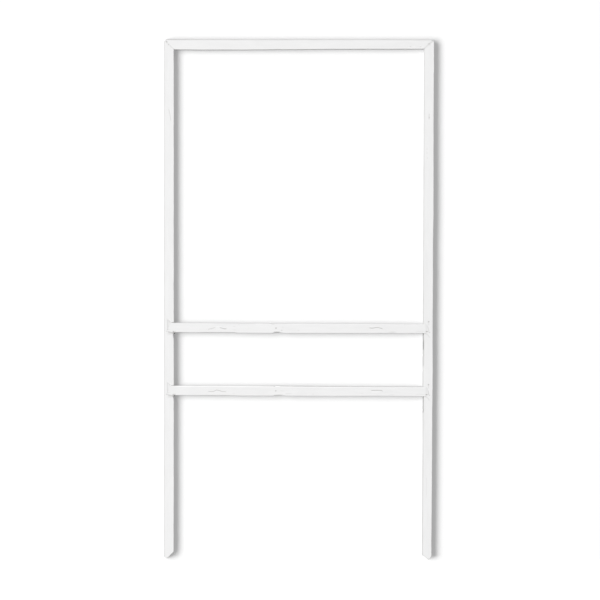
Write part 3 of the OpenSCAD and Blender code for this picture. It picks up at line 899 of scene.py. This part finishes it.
def metal_material(name, base, rough, metallic, paint=None):
    m, nt = new_material(name)
    L = nt.links.new
    out = node(nt, "ShaderNodeOutputMaterial", 900)
    b = node(nt, "ShaderNodeBsdfPrincipled", 600)
    L(b.outputs[0], out.inputs[0])
    obj = node(nt, "ShaderNodeTexCoord", -1100).outputs["Object"]
    n1 = noise(nt, obj, 350.0, 5.0, 0.6, -650, 100)
    n2 = noise(nt, obj, 2600.0, 2.0, 0.5, -650, -200)
    ramp = node(nt, "ShaderNodeValToRGB", -250, 100)
    ramp.color_ramp.elements[0].position = 0.32
    ramp.color_ramp.elements[0].color = (*[c * 0.72 for c in base], 1)
    ramp.color_ramp.elements[1].position = 0.66
    ramp.color_ramp.elements[1].color = (*base, 1)
    L(n1, ramp.inputs["Fac"])
    L(ramp.outputs["Color"], b.inputs["Base Color"])
    b.inputs["Metallic"].default_value = metallic
    L(map_range(nt, n1, 0.3, 0.7, rough + 0.12, rough - 0.05, 100, -250), b.inputs["Roughness"])
    bp = node(nt, "ShaderNodeBump", 300, -400)
    bp.inputs["Strength"].default_value = 0.4
    bp.inputs["Distance"].default_value = 0.00005
    L(n2, bp.inputs["Height"])
    L(bp.outputs[0], b.inputs["Normal"])
    return m


FIX = {
    "left_mitre_tongue": wood_material("birch_ply_left", (0.42, 0.29, 0.16), (0.68, 0.52, 0.34),
                                       "X", 300.0, 0.62, 60.0, "Y"),
    "right_mitre_tongue": wood_material("birch_ply_right", (0.42, 0.29, 0.16), (0.68, 0.52, 0.34),
                                        "X", 300.0, 0.62, 60.0, "Y"),
    "rail_dowels": wood_material("beech_dowel", (0.44, 0.27, 0.15), (0.66, 0.46, 0.29),
                                 "X", 700.0, 0.6),
    "corner_screws": metal_material("zinc_corner_screws", (0.62, 0.63, 0.64), 0.34, 1.0),
    "lap_screws": metal_material("zinc_lap_screws", (0.60, 0.61, 0.63), 0.36, 1.0),
    "rail_end_pins": metal_material("painted_pins", (0.72, 0.72, 0.71), 0.45, 0.0),
}
for n, m in FIX.items():
    ob = bpy.data.objects.get(n)
    if ob is None:
        ob = next(o for o in bpy.data.objects if o.type == "MESH" and o.name.startswith(n))
    ob.data.materials.clear()
    ob.data.materials.append(m)


# ------------------------------------------------------------------ studio
def stage_material(name, albedo, glow, one_sided, painted_floor_bounce=None):
    m, nt = new_material(name)
    L = nt.links.new
    out = node(nt, "ShaderNodeOutputMaterial", 800)
    d = node(nt, "ShaderNodeBsdfDiffuse", 0)
    d.inputs["Color"].default_value = (albedo, albedo, albedo, 1)
    e = node(nt, "ShaderNodeEmission", 0, -200)
    e.inputs["Strength"].default_value = glow
    a = node(nt, "ShaderNodeAddShader", 250)
    L(d.outputs[0], a.inputs[0])
    L(e.outputs[0], a.inputs[1])
    if painted_floor_bounce:                      # near the floor the backdrop turns into a glow: painted light from the floor
        sep = node(nt, "ShaderNodeSeparateXYZ", -300, 300)
        L(node(nt, "ShaderNodeTexCoord", -500, 300).outputs["Object"], sep.inputs[0])
        e2 = node(nt, "ShaderNodeEmission", 250, -450)
        e2.inputs["Strength"].default_value = painted_floor_bounce[3]
        blend = node(nt, "ShaderNodeMixShader", 380)
        L(map_range(nt, sep.outputs["Z"], painted_floor_bounce[0], painted_floor_bounce[1], painted_floor_bounce[2], 0.0, -100, 300), blend.inputs[0])
        L(a.outputs[0], blend.inputs[1])
        L(e2.outputs[0], blend.inputs[2])
        a = blend
    if not one_sided:
        L(a.outputs[0], out.inputs[0])
        return m
    t = node(nt, "ShaderNodeBsdfTransparent", 250, -250)
    g = node(nt, "ShaderNodeNewGeometry", 250, 250)
    mx = node(nt, "ShaderNodeMixShader", 500)
    L(g.outputs["Backfacing"], mx.inputs[0])
    L(a.outputs[0], mx.inputs[1])
    L(t.outputs[0], mx.inputs[2])
    L(mx.outputs[0], out.inputs[0])
    return m


def plane(name, corners, mat):
    me = bpy.data.meshes.new(name)
    me.from_pydata(corners, [], [(0, 1, 2, 3)])
    me.update()
    me.materials.append(mat)
    ob = bpy.data.objects.new(name, me)
    bpy.context.scene.collection.objects.link(ob)
    return ob


WALL_Y = 0.0198
FLOOR_Z = -0.008
wall = plane("backdrop", [(-9, WALL_Y, -0.3), (9, WALL_Y, -0.3), (9, WALL_Y, 8), (-9, WALL_Y, 8)],
             stage_material("backdrop_white", 0.8, 0.045, True, (-0.006, 0.0165, 0.83, 1.03)))
floor = plane("floor", [(-14, -14, FLOOR_Z), (14, -14, FLOOR_Z), (14, 14, FLOOR_Z),
                        (-14, 14, FLOOR_Z)], stage_material("floor_white", 0.8, 0.55, False))
for ob in (wall, floor):
    ob.visible_shadow = ob.visible_diffuse = ob.visible_glossy = False

world = bpy.data.worlds.new("studio")
world.use_nodes = True
world.node_tree.nodes["Background"].inputs[0].default_value = (1, 1, 1, 1)
world.node_tree.nodes["Background"].inputs[1].default_value = 0.51
bpy.context.scene.world = world

AIM = Vector((0, 0, 1.04))
KEY_DIST, KEY_AZ, KEY_EL = 42.0, math.radians(35.3), math.radians(3.5)
KEY_HALF_W, KEY_HALF_H = math.radians(17.2), math.radians(24.2)
KEY_LEVEL = 0.735
key = bpy.data.lights.new("key", "AREA")
key.shape = "ELLIPSE"
key.size = 2 * KEY_DIST * math.tan(KEY_HALF_W)
key.size_y = 2 * KEY_DIST * math.tan(KEY_HALF_H)
key.energy = KEY_LEVEL * math.pi ** 2 * KEY_DIST ** 2 / math.cos(KEY_AZ) * 1.14
key_ob = bpy.data.objects.new("key", key)
key_ob.location = AIM + KEY_DIST * Vector((-math.sin(KEY_AZ) * math.cos(KEY_EL),
                                           -math.cos(KEY_AZ) * math.cos(KEY_EL),
                                           math.sin(KEY_EL)))
key_ob.rotation_euler = (AIM - key_ob.location).to_track_quat("-Z", "Y").to_euler()
bpy.context.scene.collection.objects.link(key_ob)

PX, CAM_D, CAM_X = 0.0039938, 100.0, 0.0044
CAM_Z = (559.5 - 300) * PX
cam = bpy.data.cameras.new("camera")
cam.sensor_fit = "HORIZONTAL"
cam.sensor_width = 36.0
cam.lens = 36.0 / (600 * PX) * CAM_D
cam.clip_end = 400.0
cam_ob = bpy.data.objects.new("camera", cam)
cam_ob.location = (CAM_X, FRONT * MM - CAM_D, CAM_Z)
cam_ob.rotation_euler = (math.radians(90), 0, 0)
bpy.context.scene.collection.objects.link(cam_ob)
bpy.context.scene.camera = cam_ob
bpy.context.scene.view_settings.view_transform = "Standard"
bpy.context.scene.view_settings.look = "None"
